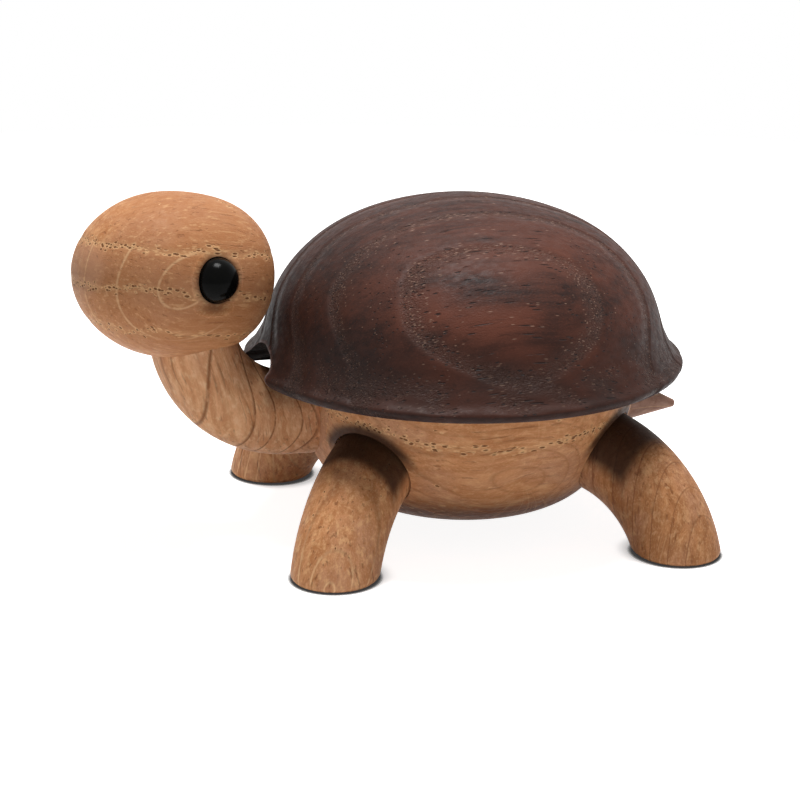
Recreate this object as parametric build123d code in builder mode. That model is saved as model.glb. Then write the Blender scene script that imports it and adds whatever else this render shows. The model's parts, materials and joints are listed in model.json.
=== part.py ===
from build123d import *
from math import cos, radians, sin, sqrt
import os

os.makedirs("parts", exist_ok=True)

# A wooden turtle, turned and bent from round stock. It faces -Y, its left side is +X and +Z is up.
# The soles stand on z = 0, and the origin is on the floor below the middle of the overall size.
# Angles are in degrees, lengths in millimetres.

# Shell: a solid turned dome with a flared rim, a flat underside and a relief over the neck
rim_radius = 47.5
shell_rise = 36.1
rim_height = 34.4
lip_radius = 1.6
shell_turn = 2.7
channel_clearance = 3.05
channel_drop = 5.6
channel_inset = 0.5
channel_edge = 0.3
crown_flat = 0.6

# Radius over rim_radius and height over shell_rise, from the lip to just below the crown
shell_outline_shares = [
    (0.972, 0.085),
    (0.950, 0.125),
    (0.918, 0.200),
    (0.892, 0.300),
    (0.850, 0.450),
    (0.776, 0.600),
    (0.656, 0.750),
    (0.485, 0.875),
    (0.262, 0.962),
]

# Body: a solid turned bowl under the shell's overhang, flat at the front where the neck stands
rim_overhang = 9.5
belly_gap = 4.0
front_flat_depth = 4.5

# Radius over the body's radius and height over its own height, from the belly up
body_flat_share = 0.36
body_outline_shares = [
    (0.560, 0.040),
    (0.722, 0.150),
    (0.824, 0.300),
    (0.906, 0.500),
    (0.974, 0.750),
]

# Legs: four equal bends of round stock, each let into the body's side and cut level at its sole
leg_radius = 9.1
leg_bend_radius = 26.5
leg_seat_drop = 14.4
leg_sole_drop = 74.9
leg_splay = 50.8
sole_round = 1.5
front_seat_inset = 6.97
front_seat_bearing = 39.36
rear_seat_inset = 4.8
rear_seat_bearing = 40.1

# Neck: one bend of round stock, level at the body and leaning a little forward at the head
neck_radius = 9.15
neck_drop = 9.1
neck_bend_radius = 20.2
neck_bend = 83.0
neck_edge = 0.4

# Head: a turned egg, blunt at the back, that turns about the neck's top
head_half_length = 21.6
head_radius = 17.2
head_seat_depth = 2.7
head_over_rim = 10.15
head_ahead = 3.5
head_turn = 27.5
head_raise = 16.5
head_nose_power = 1.9
head_back_power = 2.8
head_outline_steps = 10

# Eyes: glossy beads, each with a shank
eye_radius = 4.6
eye_sink = 1.1
eye_skirt = 0.6
eye_rise = 0.9
eye_shank_radius = 1.25
eye_shank_length = 6.0
eye_shank_end = 0.3

# Tail: a short blunt cone with a tenon
tail_radius = 6.0
tail_tip_radius = 0.9
tail_length = 14.9
tail_drop = 10.7
tail_seat_inset = 3.3
tail_droop = 8.8
tail_tip_round = 0.4
tenon_radius = 2.5
tenon_length = 8.0

# Dowels and the pin that the head turns on
dowel_radius = 3.0
leg_dowel_length = 18.0
neck_dowel_length = 18.0
shell_dowel_length = 16.0
shell_dowel_spacing = 36.0
head_pin_length = 20.0
dowel_chamfer = 0.5

# Fits
glue_clearance = 0.05
running_clearance = 0.06
pocket_clearance = 0.3
head_pocket_clearance = 0.4
eye_clearance = 0.15
hole_end_gap = 0.5
overrun = 20.0

# An outline's end tangents pull as strongly as the outline itself runs
end_pulls = [1.0, 1.0]

# Directions on the head: it turns about the neck's end, which leans forward from upright
neck_lean = 90.0 - neck_bend
swivel = Vector(0, -sin(radians(neck_lean)), cos(radians(neck_lean)))
ahead = Vector(0, -cos(radians(neck_lean)), -sin(radians(neck_lean)))
turned = ahead * cos(radians(head_turn)) + Vector(1, 0, 0) * sin(radians(head_turn))
nose = turned * cos(radians(head_raise)) + swivel * sin(radians(head_raise))
head_left = swivel.cross(nose).normalized()
head_up = nose.cross(head_left)

# Places measured from the shell's upright axis, before that axis has its own place. The straight
# root of the neck is as long as it takes to set the back of the head just over the shell's rim
body_radius = rim_radius - rim_overhang
front_flat = body_radius - front_flat_depth
neck_height = rim_height - neck_drop
neck_top_reach = rim_radius + head_half_length - head_over_rim
neck_straight = neck_top_reach - front_flat - neck_bend_radius * sin(radians(neck_bend))
neck_top_height = neck_height + neck_bend_radius * (1 - cos(radians(neck_bend)))
head_offset = swivel * (head_radius - head_seat_depth) + turned * head_ahead
snout_half = sqrt((head_half_length * nose.Y) ** 2 + head_radius**2 * (1 - nose.Y**2))
snout_reach = neck_top_reach - head_offset.Y + snout_half
tail_seat = body_radius - tail_seat_inset
tail_reach = tail_seat + tail_length * cos(radians(tail_droop))

# The shell's axis, which puts the origin midway between the snout and the tail's tip
axis_y = (snout_reach - tail_reach) / 2
upright = Axis((0, axis_y, 0), (0, 0, 1))
turning_plane = Plane(origin=(0, axis_y, 0), x_dir=(1, 0, 0), z_dir=(0, -1, 0))
body_height = rim_height - belly_gap
neck_top = Vector(0, axis_y - neck_top_reach, neck_top_height)
head_centre = neck_top + head_offset


def plane_facing(centre, normal):
    """A plane at a centre that faces along a normal."""
    return Plane(origin=centre, z_dir=normal)


def round_pin(plane, radius, length, bevel):
    """A round pin centred on a plane and square to it, with both ends bevelled."""
    with BuildPart(plane) as pin:
        Cylinder(radius, length)
        chamfer(pin.edges().filter_by(GeomType.CIRCLE), bevel)
    return pin.part


# Each leg stands in a bend plane of its own, whose x runs outwards and whose y runs up from the sole.
# Its seat lies at a bearing from the body's nearer end, inset from the body's side
leg_names = ["front_left", "front_right", "rear_left", "rear_right"]
leg_sides = {"front_left": 1, "front_right": -1, "rear_left": 1, "rear_right": -1}
leg_ends = {"front_left": -1, "front_right": -1, "rear_left": 1, "rear_right": 1}
seat_out = leg_bend_radius * (sin(radians(leg_seat_drop)) - sin(radians(leg_sole_drop)))
seat_up = leg_bend_radius * (cos(radians(leg_seat_drop)) - cos(radians(leg_sole_drop)))
bend_centre = (
    -leg_bend_radius * sin(radians(leg_sole_drop)),
    -leg_bend_radius * cos(radians(leg_sole_drop)),
)


def leg_plane(name):
    """The upright plane that a leg bends in, with its origin at the middle of the sole."""
    side, end = leg_sides[name], leg_ends[name]
    inset = front_seat_inset if end < 0 else rear_seat_inset
    bearing = radians(front_seat_bearing if end < 0 else rear_seat_bearing)
    outward = Vector(side * sin(radians(leg_splay)), end * cos(radians(leg_splay)), 0)
    seat = Vector(side * sin(bearing), end * cos(bearing), 0) * (body_radius - inset)
    sole = Vector(0, axis_y, 0) + seat - outward * seat_out
    return Plane(origin=sole, x_dir=outward, z_dir=outward.cross(Vector(0, 0, 1)))


def leg_seat_plane(name):
    """The plane where a leg's upper end meets the body, facing out of the body."""
    bend = leg_plane(name)
    centre = bend.from_local_coords(Vector(seat_out, seat_up, 0))
    outward = bend.x_dir * cos(radians(leg_seat_drop)) - Vector(0, 0, 1) * sin(radians(leg_seat_drop))
    return plane_facing(centre, outward)


neck_seat_plane = plane_facing(Vector(0, axis_y - front_flat, neck_height), Vector(0, -1, 0))
neck_top_plane = plane_facing(neck_top, swivel)
tail_axis = Vector(0, cos(radians(tail_droop)), -sin(radians(tail_droop)))
tail_plane = plane_facing(Vector(0, axis_y + tail_seat, rim_height - tail_drop), tail_axis)
shell_dowel_planes = [
    Plane(origin=(side * shell_dowel_spacing / 2, axis_y, rim_height), z_dir=(0, 0, 1))
    for side in (1, -1)
]

# Shell
channel_way = Vector(sin(radians(shell_turn)), -cos(radians(shell_turn)), 0)
channel_origin = Vector(0, axis_y, rim_height - channel_drop) + channel_way * (front_flat - channel_inset)
with BuildPart() as shell:
    with BuildSketch(turning_plane) as shell_section:
        with BuildLine() as shell_outline:
            crown = (crown_flat, rim_height + shell_rise)
            crown_middle = (0, rim_height + shell_rise)
            lip_top = (rim_radius, rim_height + lip_radius)
            lip_bottom = (rim_radius - lip_radius, rim_height)
            Line((0, rim_height), lip_bottom)
            RadiusArc(lip_bottom, lip_top, -lip_radius)
            waist = [(r * rim_radius, rim_height + h * shell_rise) for r, h in shell_outline_shares]
            outline_points = [lip_top] + waist + [crown]
            Spline(outline_points, tangents=[(0, 1), (-1, 0)], tangent_scalars=end_pulls)
            Polyline(crown, crown_middle, (0, rim_height))
        make_face()
    revolve(axis=upright)
    with BuildSketch(plane_facing(channel_origin, channel_way)):
        Circle(neck_radius + channel_clearance)
    extrude(amount=rim_radius, mode=Mode.SUBTRACT)
    fillet(shell.edges(Select.LAST), channel_edge)
    with Locations([-plane for plane in shell_dowel_planes]):
        Hole(dowel_radius + glue_clearance, depth=shell_dowel_length / 2 + hole_end_gap)
shell.part.label = "shell"
export_step(shell.part, "parts/shell.step")

# Body
with BuildPart() as body:
    with BuildSketch(turning_plane) as body_section:
        with BuildLine() as body_outline:
            belly_end = (body_flat_share * body_radius, belly_gap)
            top_end = (body_radius, rim_height)
            sides = [(r * body_radius, belly_gap + h * body_height) for r, h in body_outline_shares]
            Line((0, belly_gap), belly_end)
            outline_points = [belly_end] + sides + [top_end]
            Spline(outline_points, tangents=[(1, 0), (0, 1)], tangent_scalars=end_pulls)
            Line(top_end, (0, rim_height))
            Line((0, rim_height), (0, belly_gap))
        make_face()
    revolve(axis=upright)
    split(bisect_by=neck_seat_plane, keep=Keep.BOTTOM)
    for name in leg_names:
        with BuildSketch(leg_seat_plane(name)):
            Circle(leg_radius + pocket_clearance)
        extrude(amount=overrun, mode=Mode.SUBTRACT)
        with Locations(leg_seat_plane(name)):
            Hole(dowel_radius + glue_clearance, depth=leg_dowel_length / 2 + hole_end_gap)
    with Locations(neck_seat_plane):
        Hole(dowel_radius + glue_clearance, depth=neck_dowel_length / 2 + hole_end_gap)
    with BuildSketch(tail_plane):
        Circle(tail_radius + glue_clearance)
    extrude(amount=overrun, mode=Mode.SUBTRACT)
    with Locations(tail_plane):
        Hole(tenon_radius + glue_clearance, depth=tenon_length + hole_end_gap)
    with Locations(shell_dowel_planes):
        Hole(dowel_radius + glue_clearance, depth=shell_dowel_length / 2 + hole_end_gap)
body.part.label = "body"
export_step(body.part, "parts/body.step")

# Legs and their dowels
for name in leg_names:
    with BuildPart() as leg:
        with BuildLine(leg_plane(name)) as leg_line:
            CenterArc(bend_centre, leg_bend_radius, 90 - leg_seat_drop, leg_seat_drop - 90)
        with BuildSketch(leg_seat_plane(name)):
            Circle(leg_radius)
        sweep(path=leg_line.wires()[0])
        split(bisect_by=Plane.XY, keep=Keep.TOP)
        fillet(leg.edges().group_by(Axis.Z)[0], sole_round)
        with Locations(-leg_seat_plane(name)):
            Hole(dowel_radius + glue_clearance, depth=leg_dowel_length / 2 + hole_end_gap)
    leg.part.label = "leg_" + name
    export_step(leg.part, "parts/leg_" + name + ".step")
    dowel = round_pin(leg_seat_plane(name), dowel_radius, leg_dowel_length, dowel_chamfer)
    dowel.label = "leg_dowel_" + name
    export_step(dowel, "parts/leg_dowel_" + name + ".step")

# Neck
with BuildPart() as neck:
    neck_bend_plane = Plane(origin=neck_seat_plane.origin, x_dir=(0, -1, 0), z_dir=(-1, 0, 0))
    with BuildLine(neck_bend_plane) as neck_line:
        Line((0, 0), (neck_straight, 0))
        JernArc(start=(neck_straight, 0), tangent=(1, 0), radius=neck_bend_radius, arc_size=neck_bend)
    with BuildSketch(neck_seat_plane):
        Circle(neck_radius)
    sweep(path=neck_line.wires()[0])
    fillet(neck.edges().filter_by(GeomType.CIRCLE), neck_edge)
    with Locations(-neck_seat_plane):
        Hole(dowel_radius + glue_clearance, depth=neck_dowel_length / 2 + hole_end_gap)
    with Locations(neck_top_plane):
        Hole(dowel_radius + glue_clearance, depth=head_pin_length / 2 + hole_end_gap)
neck.part.label = "neck"
export_step(neck.part, "parts/neck.step")

neck_dowel = round_pin(neck_seat_plane, dowel_radius, neck_dowel_length, dowel_chamfer)
neck_dowel.label = "neck_dowel"
export_step(neck_dowel, "parts/neck_dowel.step")

head_pin = round_pin(neck_top_plane, dowel_radius, head_pin_length, dowel_chamfer)
head_pin.label = "head_pin"
export_step(head_pin, "parts/head_pin.step")

# Shell dowels
with BuildPart() as shell_dowels:
    with Locations(shell_dowel_planes):
        Cylinder(dowel_radius, shell_dowel_length)
    chamfer(shell_dowels.edges().filter_by(GeomType.CIRCLE), dowel_chamfer)
shell_dowels.part.label = "shell_dowels"
export_step(shell_dowels.part, "parts/shell_dowels.step")


def head_width_share(along_share):
    """The egg's radius share: a rounded power curve, sharper at the nose than at the back."""
    power = head_nose_power if along_share > 0 else head_back_power
    return (1 - abs(along_share) ** power) ** (1 / power)


def eye_plane(side):
    """The plane at the head's widest side where an eye sits, facing outwards."""
    centre = head_centre + head_left * side * head_radius + head_up * eye_rise
    return plane_facing(centre, head_left * side)


# Head
head_plane = Plane(origin=head_centre, x_dir=nose, z_dir=head_left * -1)
with BuildPart() as head:
    with BuildSketch(head_plane) as head_section:
        with BuildLine() as head_outline:
            turns = [180 * step / head_outline_steps for step in range(1, head_outline_steps)]
            middle = [
                (cos(radians(t)) * head_half_length, head_width_share(cos(radians(t))) * head_radius)
                for t in turns
            ]
            snout_end = (head_half_length, 0)
            back_end = (-head_half_length, 0)
            outline_points = [snout_end] + middle + [back_end]
            Spline(outline_points, tangents=[(0, 1), (0, -1)], tangent_scalars=end_pulls)
            Line(back_end, snout_end)
        make_face()
    revolve(axis=Axis(head_centre, nose), revolution_arc=180)
    mirror(about=head_plane)
    with BuildSketch(neck_top_plane):
        Circle(neck_radius + head_pocket_clearance)
    extrude(amount=-overrun, mode=Mode.SUBTRACT)
    with Locations(-neck_top_plane):
        Hole(dowel_radius + running_clearance, depth=head_pin_length / 2 + hole_end_gap)
    for side in (1, -1):
        eye_floor = eye_plane(side).offset(-eye_sink - eye_skirt)
        with BuildSketch(eye_floor):
            Circle(eye_radius + eye_clearance)
        extrude(amount=overrun, mode=Mode.SUBTRACT)
        with Locations(eye_floor):
            Hole(eye_shank_radius + glue_clearance, depth=eye_shank_length + hole_end_gap)
head.part.label = "head"
export_step(head.part, "parts/head.step")

# Eyes
for name, side in (("left", 1), ("right", -1)):
    seat = eye_plane(side)
    profile = Plane(origin=seat.origin, x_dir=seat.x_dir, z_dir=seat.y_dir * -1)
    with BuildPart() as eye:
        with BuildSketch(profile):
            with BuildLine() as eye_outline:
                dome_foot = (eye_radius, -eye_sink)
                skirt_foot = (eye_radius, -eye_sink - eye_skirt)
                shank_top = (eye_shank_radius, -eye_sink - eye_skirt)
                shank_side = (eye_shank_radius, -eye_sink - eye_skirt - eye_shank_length + eye_shank_end)
                shank_foot = (eye_shank_radius - eye_shank_end, -eye_sink - eye_skirt - eye_shank_length)
                dome_top = (0, eye_radius - eye_sink)
                axis_foot = (0, -eye_sink - eye_skirt - eye_shank_length)
                RadiusArc(dome_top, dome_foot, eye_radius)
                Polyline(dome_foot, skirt_foot, shank_top, shank_side, shank_foot, axis_foot, dome_top)
            make_face()
        revolve(axis=Axis(seat.origin, seat.z_dir))
    eye.part.label = "eye_" + name
    export_step(eye.part, "parts/eye_" + name + ".step")

# Tail
tail_profile = Plane(origin=tail_plane.origin, x_dir=(1, 0, 0), z_dir=tail_axis.cross(Vector(1, 0, 0)) * -1)
with BuildPart() as tail:
    with BuildSketch(tail_profile):
        with BuildLine():
            Polyline(
                (0, -tenon_length),
                (tenon_radius, -tenon_length),
                (tenon_radius, 0),
                (tail_radius, 0),
                (tail_tip_radius, tail_length),
                (0, tail_length),
                close=True,
            )
        make_face()
    revolve(axis=Axis(tail_plane.origin, tail_axis))
    fillet(tail.edges().filter_by(GeomType.CIRCLE).group_by(Axis.Y)[-1], tail_tip_round)
tail.part.label = "tail"
export_step(tail.part, "parts/tail.step")
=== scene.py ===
import json
from math import atan2, cos, pi, radians, sin

import bpy
import numpy as np
from mathutils import Matrix, Vector


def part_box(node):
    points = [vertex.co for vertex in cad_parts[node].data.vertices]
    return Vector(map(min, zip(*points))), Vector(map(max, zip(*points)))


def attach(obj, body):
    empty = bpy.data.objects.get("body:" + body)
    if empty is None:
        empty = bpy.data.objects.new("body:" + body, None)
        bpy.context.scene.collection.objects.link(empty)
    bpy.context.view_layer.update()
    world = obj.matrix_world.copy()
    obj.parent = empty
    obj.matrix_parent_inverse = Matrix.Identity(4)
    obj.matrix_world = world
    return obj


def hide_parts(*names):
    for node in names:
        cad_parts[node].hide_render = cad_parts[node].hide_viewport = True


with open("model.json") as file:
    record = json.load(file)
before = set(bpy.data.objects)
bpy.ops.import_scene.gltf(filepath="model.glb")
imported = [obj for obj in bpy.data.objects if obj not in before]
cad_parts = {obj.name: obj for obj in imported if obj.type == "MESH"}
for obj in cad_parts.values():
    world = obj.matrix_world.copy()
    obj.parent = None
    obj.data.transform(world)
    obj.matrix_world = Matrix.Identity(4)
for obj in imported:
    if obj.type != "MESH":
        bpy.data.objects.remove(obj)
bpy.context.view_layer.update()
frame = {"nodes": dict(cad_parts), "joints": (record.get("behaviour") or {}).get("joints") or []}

# The turtle faces -Y, its left side is +X and the soles stand on z = 0. Sizes here are in millimetres,
# and toMetres turns a finished mesh into the frame's own unit.
toMetres = 0.001
print("frame loaded:", len(frame["nodes"]), "nodes")


def boxOf(node):
    low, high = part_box(node)
    return np.array(low) / toMetres, np.array(high) / toMetres


shellLow, shellHigh = boxOf("shell")
bodyLow, bodyHigh = boxOf("body")
axisY = bodyHigh[1] - (bodyHigh[0] - bodyLow[0]) / 2  # of the upright axis of shell and body
axisFoot = np.array([0, axisY, 0])
swivel = frame["joints"][0]
neckTop = np.array(swivel["pos_m"]) / toMetres
swivelAxis = np.array(swivel["axis"]) / np.linalg.norm(swivel["axis"])


# Shapes

def unit(vector):
    return np.asarray(vector, float) / np.linalg.norm(vector)


def throughPoints(points, startPull, endPull, count):
    # a cubic through points, spaced by chord length t; its second derivatives m solve
    # h0*m0 + 2*(h0+h1)*m1 + h1*m2 = 6*(slope1 - slope0), with the end slopes clamped to the pulls
    points = np.asarray(points, float)
    steps = np.linalg.norm(np.diff(points, axis=0), axis=1)
    knots = np.concatenate([[0.0], np.cumsum(steps)])
    slopes = np.diff(points, axis=0) / steps[:, None]
    size = len(points)
    matrix = np.zeros((size, size))
    right = np.zeros((size, points.shape[1]))
    inner = np.arange(1, size - 1)
    matrix[inner, inner - 1] = steps[:-1]
    matrix[inner, inner] = 2 * (steps[:-1] + steps[1:])
    matrix[inner, inner + 1] = steps[1:]
    right[inner] = 6 * np.diff(slopes, axis=0)
    matrix[0, :2] = 2 * steps[0], steps[0]
    right[0] = 6 * (slopes[0] - np.asarray(startPull, float))
    matrix[-1, -2:] = steps[-1], 2 * steps[-1]
    right[-1] = 6 * (np.asarray(endPull, float) - slopes[-1])
    bend = np.linalg.solve(matrix, right)
    t = np.linspace(0, knots[-1], count)
    k = np.clip(np.searchsorted(knots, t, side="right") - 1, 0, size - 2)
    h, a, b = steps[k][:, None], (knots[k + 1] - t)[:, None], (t - knots[k])[:, None]
    return (bend[k] * a**3 / (6 * h) + bend[k + 1] * b**3 / (6 * h)
            + (points[k] / h - bend[k] * h / 6) * a + (points[k + 1] / h - bend[k + 1] * h / 6) * b)


def arcPoints(centre, radius, fromDegrees, toDegrees, count):
    # centre + radius * (cos a, sin a)
    a = np.radians(np.linspace(fromDegrees, toDegrees, count))
    return np.column_stack([centre[0] + radius * np.cos(a), centre[1] + radius * np.sin(a)])


def joined(*runs):
    # runs laid end to end, without the point that two runs share
    return np.concatenate([runs[0]] + [run[1:] for run in runs[1:]])


def straightPoints(corners, *counts):
    # straight runs from corner to corner, with this many points on each
    return joined(*[np.linspace(*run) for run in zip(corners, corners[1:], counts)])


def turned(profile, centre, alongAxis, outAxis, count):
    # profile (rho, h) about an axis: centre + h*along + rho*(cos a * out + sin a * side)
    along, out = unit(alongAxis), unit(outAxis)
    a = np.linspace(0, 2 * pi, count, endpoint=False)[:, None]
    ring = np.cos(a) * out + np.sin(a) * np.cross(along, out)
    rho, high = profile.T[:, :, None, None]
    return centre + high * along + rho * ring


def linked(name, data):
    thing = bpy.data.objects.new(name, data)
    bpy.context.scene.collection.objects.link(thing)
    return thing


def meshFromRings(name, rings):
    # rings is rows x columns x 3, closed round its columns; its first and last rows are poles, one
    # repeated point each
    rows, columns = len(rings) - 2, rings.shape[1]
    body = rings[1:-1].reshape(-1, 3)
    here = np.arange(columns)
    turn = (here + 1) % columns
    start = np.arange(rows - 1)[:, None] * columns
    after = start + columns
    quads = np.stack([start + here, start + turn, after + turn, after + here], -1).reshape(-1, 4)
    base, pole = len(body) - columns, np.full(columns, len(body))
    triangles = np.concatenate([np.stack([pole, turn, here], -1),
                                np.stack([pole + 1, base + here, base + turn], -1)])
    points = np.concatenate([body, rings[0][:1], rings[-1][:1]])
    corners = np.append(quads, triangles).astype(np.int32)
    sizes = np.repeat([4, 3], [len(quads), len(triangles)])
    mesh = bpy.data.meshes.new(name)
    mesh.vertices.add(len(points))
    mesh.vertices.foreach_set("co", (points * toMetres).astype(np.float32).ravel())
    mesh.loops.add(len(corners))
    mesh.loops.foreach_set("vertex_index", corners)
    mesh.polygons.add(len(sizes))
    mesh.polygons.foreach_set("loop_start", (np.cumsum(sizes) - sizes).astype(np.int32))
    mesh.update(calc_edges=True)
    mesh.validate()
    return linked(name, mesh)


def capped(rings):
    # a pole at the middle of the first ring and one at the middle of the last
    ends = [np.repeat(rings[k].mean(0)[None, None], rings.shape[1], axis=1) for k in (0, -1)]
    return np.concatenate([ends[0], rings, ends[1]])


def roundBore(name, centre, axis, radius, depth, length, rows=2):
    # a plain round cutter from depth behind its centre to length in front of it
    corners = [(0, -depth), (radius, -depth), (radius, length), (0, length)]
    profile = straightPoints(corners, 2, rows, 2)
    helper = (1, 0, 0) if abs(unit(axis)[0]) < 0.9 else (0, 1, 0)
    return meshFromRings(name, turned(profile, centre, axis, np.cross(axis, helper), 160))


def carve(piece, cutters):
    # takes each cutter out of the piece, and leaves a plain mesh
    for cutter in cutters:
        cut = piece.modifiers.new(cutter.name, "BOOLEAN")
        cut.operation = "DIFFERENCE"
        cut.solver = "EXACT"
        cut.object = cutter
    graph = bpy.context.evaluated_depsgraph_get()
    carved = bpy.data.meshes.new_from_object(piece.evaluated_get(graph))
    piece.modifiers.clear()
    piece.data = carved
    for cutter in cutters:
        bpy.data.objects.remove(cutter)


# Wood figure: where the growth rings and the fibres run in each piece
grain = {
    "waves": 8, "waveSizes": (0.6, 1.7), "waveShare": 1 / 3, "bow": 0.6, "bowSize": 24, "edgeRise": 0.12,
    "easeShare": 0.75, "squareCut": (0.25, 0.8), "rayAlong": 0.12, "noiseRoughness": 0.55,
}
plainFigure = {"relief": 0.08, "early": 0.16, "squarePores": 0.1, "rayReach": 15.0, "across": (0, 0, 1)}


def readVectors(mesh, label):
    flat = np.zeros(len(mesh.vertices) * 3, np.float32)
    mesh.vertices.foreach_get(label, flat)
    return flat.reshape(-1, 3).astype(float)


def smoothStep(values, low, high):
    # 0 below low, 1 above high and s*s*(3 - 2*s) between
    share = np.clip((values - low) / (high - low), 0, 1)
    return share * share * (3 - 2 * share)


def wander(points, size, seed):
    # slow waves: the sum of sin(2*pi*p.d/size + phase) over eight random directions and sizes
    draw = np.random.default_rng(seed)
    total = np.zeros(len(points))
    for _ in range(grain["waves"]):
        way = unit(draw.normal(size=3)) * draw.uniform(*grain["waveSizes"]) / size
        total += np.sin(2 * pi * (points @ way) + draw.uniform(0, 2 * pi))
    return total * grain["waveShare"]


def ringValues(points, figure):
    # distance from the pith line, with slow waves, read off the list of ring radii as a ring number
    offset = points - np.array(figure["pith"], float)
    way = unit(figure["pithWay"])
    outward = offset - np.outer(offset @ way, way)
    distance = np.linalg.norm(outward, axis=1)
    outward /= np.maximum(distance, 1e-6)[:, None]
    distance += figure["wave"] * wander(points, figure["waveSize"], figure["seed"])
    radii = np.array(figure["ringRadii"], float)
    before = np.minimum(distance - radii[0], 0) / (radii[1] - radii[0])
    beyond = np.maximum(distance - radii[-1], 0) / (radii[-1] - radii[-2])
    return np.interp(distance, radii, np.arange(len(radii))) + before + beyond + 20, outward


def earlyShare(rings, width):
    # 1 in the coarse wood just past a ring's edge, easing to 0 at the early wood's width
    phase = rings - np.floor(rings)
    fall = (width - phase) / (grain["easeShare"] * width)
    return smoothStep(phase, 0, grain["edgeRise"]) * smoothStep(fall, 0, 1)


def writeAttribute(mesh, name, kind, values):
    attribute = mesh.attributes.new(name, kind, "POINT")
    attribute.data.foreach_set("value" if kind == "FLOAT" else "vector", values.astype(np.float32).ravel())


def dressWood(piece, figure, keepFlat=None, tone=None, pores=None, trace=None):
    # ring: ring number. fibre: the place along the fibre and the two ways across it. ray: the same
    # all along a ray from the pith. face: how squarely the surface cuts the rings, how much it is
    # end grain, and its share of open pores. tone: over 0 for heartwood, for painted shade low on the
    # belly and for a painted highlight along the shell channel's edge; under 0 for painted shade in
    # hollows, under the shell and low on its wall. trace: how clearly a ring's edge shows. The coarse wood
    # is sunk a little
    mesh = piece.data
    figure = {**plainFigure, **figure}
    points, normals = readVectors(mesh, "co") / toMetres, readVectors(mesh, "normal")
    rings, outward = ringValues(points, figure)
    along = unit(figure["fibre"])
    side = unit(np.cross(along, figure["across"]))
    bow = grain["bow"] * wander(points, grain["bowSize"], figure["seed"] + 2)
    run = points @ along
    fibre = np.column_stack([run, points @ side + bow, points @ np.cross(side, along) + bow])
    first = unit(np.cross(along, (0.3, 0.2, 0.93)))
    sheet = figure["rayReach"] * outward
    ray = np.column_stack([sheet @ first, sheet @ np.cross(along, first), grain["rayAlong"] * run])
    cut = np.sqrt(np.clip(1 - (outward * normals).sum(1) ** 2, 0, 1))
    lost = (1 - figure["squarePores"]) * smoothStep(cut, *grain["squareCut"])
    early = earlyShare(rings, figure["early"]) * (1 - lost)
    pored = early if pores is None else np.clip(early + pores(points, normals), 0, 1)
    face = np.column_stack([cut, np.abs(normals @ along), pored])
    toned = np.zeros(len(points)) if tone is None else tone(points, normals)
    sink = figure["relief"] * pored
    if keepFlat is not None:
        sink = sink * keepFlat(points)
    moved = (points - normals * sink[:, None]) * toMetres
    mesh.vertices.foreach_set("co", moved.astype(np.float32).ravel())
    traced = np.ones(len(points)) if trace is None else trace(points)
    for label, values in (("ring", rings), ("tone", toned), ("trace", traced)):
        writeAttribute(mesh, label, "FLOAT", values)
    for label, values in (("fibre", fibre), ("ray", ray), ("face", face)):
        writeAttribute(mesh, label, "FLOAT_VECTOR", values)
    mesh.update()


# Shader groups

def nodeIn(tree, kind, **settings):
    node = tree.nodes.new(kind)
    for key, value in settings.items():
        setattr(node, key, value)
    return node


def plug(tree, source, socket):
    # source is an output socket, a number or a colour
    if isinstance(source, bpy.types.NodeSocket):
        tree.links.new(source, socket)
    else:
        socket.default_value = source


def mathNode(tree, operation, first, second=0.0):
    node = nodeIn(tree, "ShaderNodeMath", operation=operation)
    plug(tree, first, node.inputs[0])
    plug(tree, second, node.inputs[1])
    return node.outputs[0]


def product(tree, first, *others):
    for other in others:
        first = mathNode(tree, "MULTIPLY", first, other)
    return first


def rangeNode(tree, value, low, high, toLow=0.0, toHigh=1.0):
    node = nodeIn(tree, "ShaderNodeMapRange", interpolation_type="SMOOTHSTEP")
    for source, socket in zip((value, low, high, toLow, toHigh), node.inputs[:5]):
        plug(tree, source, socket)
    return node.outputs[0]


def stretched(tree, vector, *shares):
    node = nodeIn(tree, "ShaderNodeVectorMath", operation="MULTIPLY")
    plug(tree, vector, node.inputs[0])
    node.inputs[1].default_value = shares
    return node.outputs[0]


def noiseNode(tree, vector, detail, scale=1.0):
    node = nodeIn(tree, "ShaderNodeTexNoise")
    plug(tree, vector, node.inputs["Vector"])
    node.inputs["Scale"].default_value = scale
    node.inputs["Detail"].default_value = detail
    node.inputs["Roughness"].default_value = grain["noiseRoughness"]
    return node.outputs[0]


def cellNode(tree, vector):
    # distance to the nearest cell's middle, and a random number for that cell
    node = nodeIn(tree, "ShaderNodeTexVoronoi", feature="F1", distance="EUCLIDEAN")
    plug(tree, vector, node.inputs["Vector"])
    node.inputs["Scale"].default_value = 1.0
    pick = nodeIn(tree, "ShaderNodeSeparateColor")
    plug(tree, node.outputs["Color"], pick.inputs[0])
    return node.outputs["Distance"], pick.outputs[0]


def mixColour(tree, share, first, second, blend="MIX"):
    node = nodeIn(tree, "ShaderNodeMix", data_type="RGBA", blend_type=blend)
    plug(tree, share, node.inputs[0])
    plug(tree, first, node.inputs[6])
    plug(tree, second, node.inputs[7])
    return node.outputs[2]


def newGroup(name, inputs, outputs):
    # inputs gives each label its default, or None for a vector; every output is a mask
    group = bpy.data.node_groups.new(name, "ShaderNodeTree")
    for label, value in inputs.items():
        kind = "NodeSocketVector" if value is None else "NodeSocketFloat"
        socket = group.interface.new_socket(name=label, in_out="INPUT", socket_type=kind)
        if value is not None:
            socket.default_value = value
    for label in outputs:
        group.interface.new_socket(name=label, in_out="OUTPUT", socket_type="NodeSocketFloat")
    return group, group.nodes.new("NodeGroupInput").outputs, group.nodes.new("NodeGroupOutput").inputs


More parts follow.
